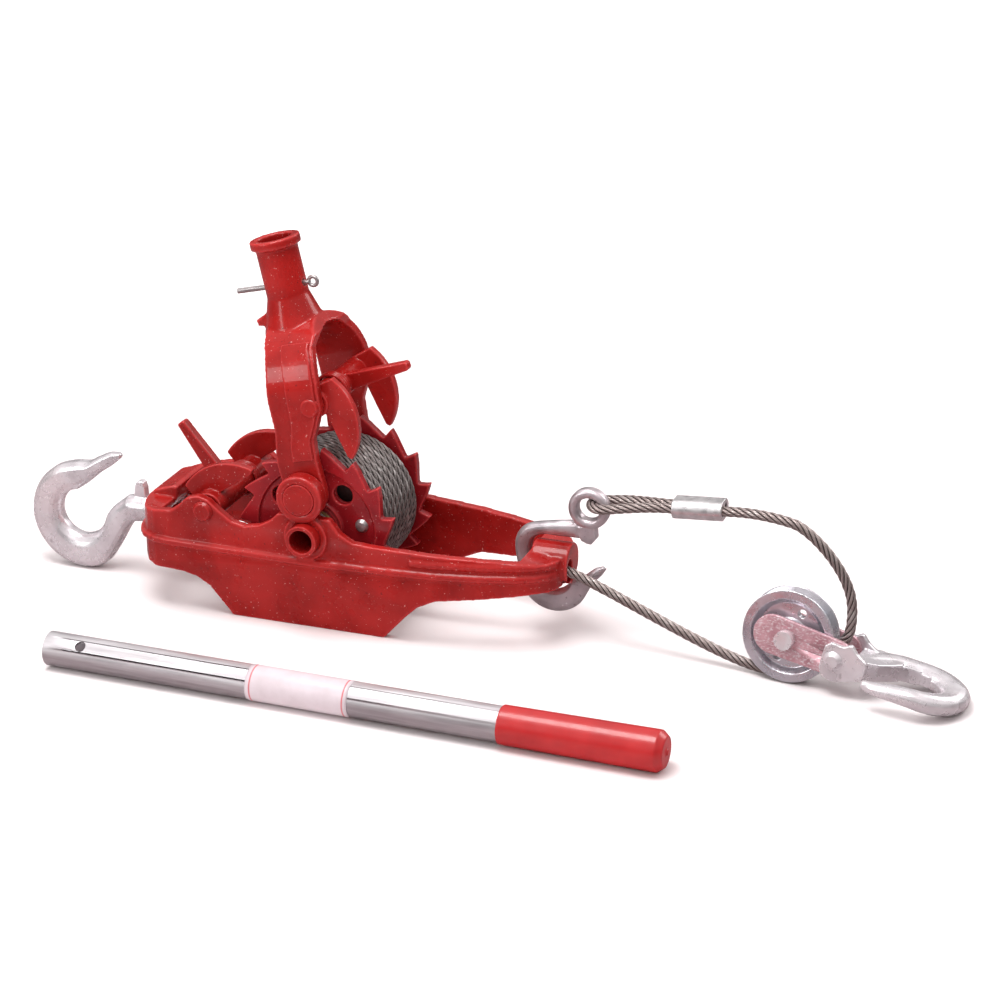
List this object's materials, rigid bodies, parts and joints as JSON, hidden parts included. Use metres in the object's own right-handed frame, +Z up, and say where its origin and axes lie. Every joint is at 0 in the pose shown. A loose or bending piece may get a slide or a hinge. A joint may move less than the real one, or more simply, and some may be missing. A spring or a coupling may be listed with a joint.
{
  "type": "come along winch",
  "caption": "Hand ratchet puller: cast frame with a wire rope drum, ratchet lever with pawls, swivel hook, rope doubled through a snatch block, and a loose lever handle.",
  "frame": {"origin": "on the resting plane, straight below the drum axle and midway between the side walls", "axes": "+Z up; +X from the rear swivel hook towards the nose and the rope; +Y towards the far side wall, away from the side where the handle lies"},
  "size_m": [0.7847, 0.2826, 0.3061],
  "materials": {
    "frame_enamel": "glossy red enamel over a sand casting",
    "lever_enamel": "glossy red enamel over a sand casting",
    "drum_enamel": "red enamel with dark web",
    "zinc_hook": "bright zinc plate over a drop forging",
    "zinc_block": "bright zinc plate, lightly scratched",
    "forged_hook": "grey galvanised forging",
    "steel_rope": "oiled galvanised wire rope",
    "plain_steel": "bare steel",
    "ferrule_aluminium": "pressed aluminium",
    "bronze": "oiled bronze bush",
    "tube_steel": "bright drawn tube",
    "grip_vinyl": "dipped red vinyl",
    "label_paper": "blank pale label with a thin border"
  },
  "bodies": {
    "frame": {"frame": "frame_enamel", "drum_axle": "frame_enamel", "axle_spacers": "zinc_hook", "lever_pivot_pins": "frame_enamel", "holding_pawl_pin": "frame_enamel", "rope_line": "steel_rope", "ferrule": "ferrule_aluminium"},
    "rear_hook": {"rear_hook": "zinc_hook", "rear_hook_washer": "zinc_hook", "rear_hook_nut": "zinc_hook", "rear_hook_cotter": "plain_steel"},
    "drum": {"drum_core": "drum_enamel", "drum_bushes": "bronze", "ratchet_wheel_near": "drum_enamel", "ratchet_wheel_far": "drum_enamel", "wheel_rivets": "plain_steel", "rope_winding": "steel_rope", "rope_clamp_screw": "plain_steel"},
    "holding_pawl": {"holding_pawl": "frame_enamel", "holding_pawl_spring": "frame_enamel"},
    "lever": {"lever": "lever_enamel"},
    "drive_pawl_pin": {"drive_pawl_pin": "frame_enamel"},
    "drive_pawl": {"drive_pawl": "frame_enamel", "drive_pawl_spring": "frame_enamel", "drive_pawl_set_screw": "plain_steel"},
    "lever_cotter": {"lever_cotter_pin": "plain_steel"},
    "anchor_hook": {"anchor_hook": "forged_hook"},
    "block": {"sheave_pin": "zinc_block", "block_plate_near": "zinc_block", "block_plate_far": "zinc_block", "hook_rivet": "zinc_block"},
    "sheave": {"sheave": "zinc_block", "sheave_bush": "bronze"},
    "block_hook": {"block_hook": "zinc_hook"},
    "handle": {"handle_tube": "tube_steel", "handle_grip": "grip_vinyl", "handle_label": "label_paper"}
  },
  "joints": [
    {"name": "rear_hook_swivel", "type": "hinge", "parent": "frame", "child": "rear_hook", "pos_m": [-0.15, 0, 0.058], "axis": [1, 0, 0], "continuous": true},
    {"name": "drum_spin", "type": "hinge", "parent": "frame", "child": "drum", "pos_m": [0, 0, 0.081], "axis": [0, 1, 0], "continuous": true},
    {"name": "holding_pawl_lift", "type": "hinge", "parent": "frame", "child": "holding_pawl", "pos_m": [-0.088, 0, 0.09], "axis": [0, -1, 0], "range_deg": [-6, 30]},
    {"name": "lever_swing", "type": "hinge", "parent": "frame", "child": "lever", "pos_m": [-0.004, 0, 0.1125], "axis": [0, -1, 0], "range_deg": [-46, 14]},
    {"name": "drive_pawl_follow", "type": "hinge", "parent": "lever", "child": "drive_pawl_pin", "pos_m": [0.00204, 0, 0.18403], "axis": [0, -1, 0], "range_deg": [-8, 23]},
    {"name": "drive_pawl_lift", "type": "hinge", "parent": "drive_pawl_pin", "child": "drive_pawl", "pos_m": [0.00204, 0, 0.18403], "axis": [0, -1, 0], "range_deg": [-5, 22]},
    {"name": "lever_cotter_pull", "type": "slide", "parent": "lever", "child": "lever_cotter", "axis": [0.974, 0, 0.2267], "range_m": [0, 0.06]},
    {"name": "anchor_hook_rock", "type": "hinge", "parent": "frame", "child": "anchor_hook", "pos_m": [0.2075, 0.006, 0.1075], "axis": [0, 1, 0], "range_deg": [-0.8, 0.8]},
    {"name": "block_swing", "type": "hinge", "parent": "frame", "child": "block", "pos_m": [0.3737, -0.0145, 0.0363], "axis": [-0.0867, -0.9907, 0.1045], "range_deg": [-5, 0.4]},
    {"name": "sheave_spin", "type": "hinge", "parent": "block", "child": "sheave", "pos_m": [0.3737, -0.0145, 0.0363], "axis": [-0.0867, -0.9907, 0.1045], "continuous": true},
    {"name": "block_hook_swing", "type": "hinge", "parent": "block", "child": "block_hook", "pos_m": [0.41227, -0.01882, 0.02735], "axis": [0.0867, 0.9907, -0.1045], "range_deg": [-25, 2]},
    {"name": "handle_lift", "type": "slide", "parent": "frame", "child": "handle", "axis": [0, 0, 1], "range_m": [0, 0.15]}
  ],
  "couplings": [
    {"joint": "drive_pawl_follow", "follows": "lever_swing", "ratio": -0.47}
  ]
}
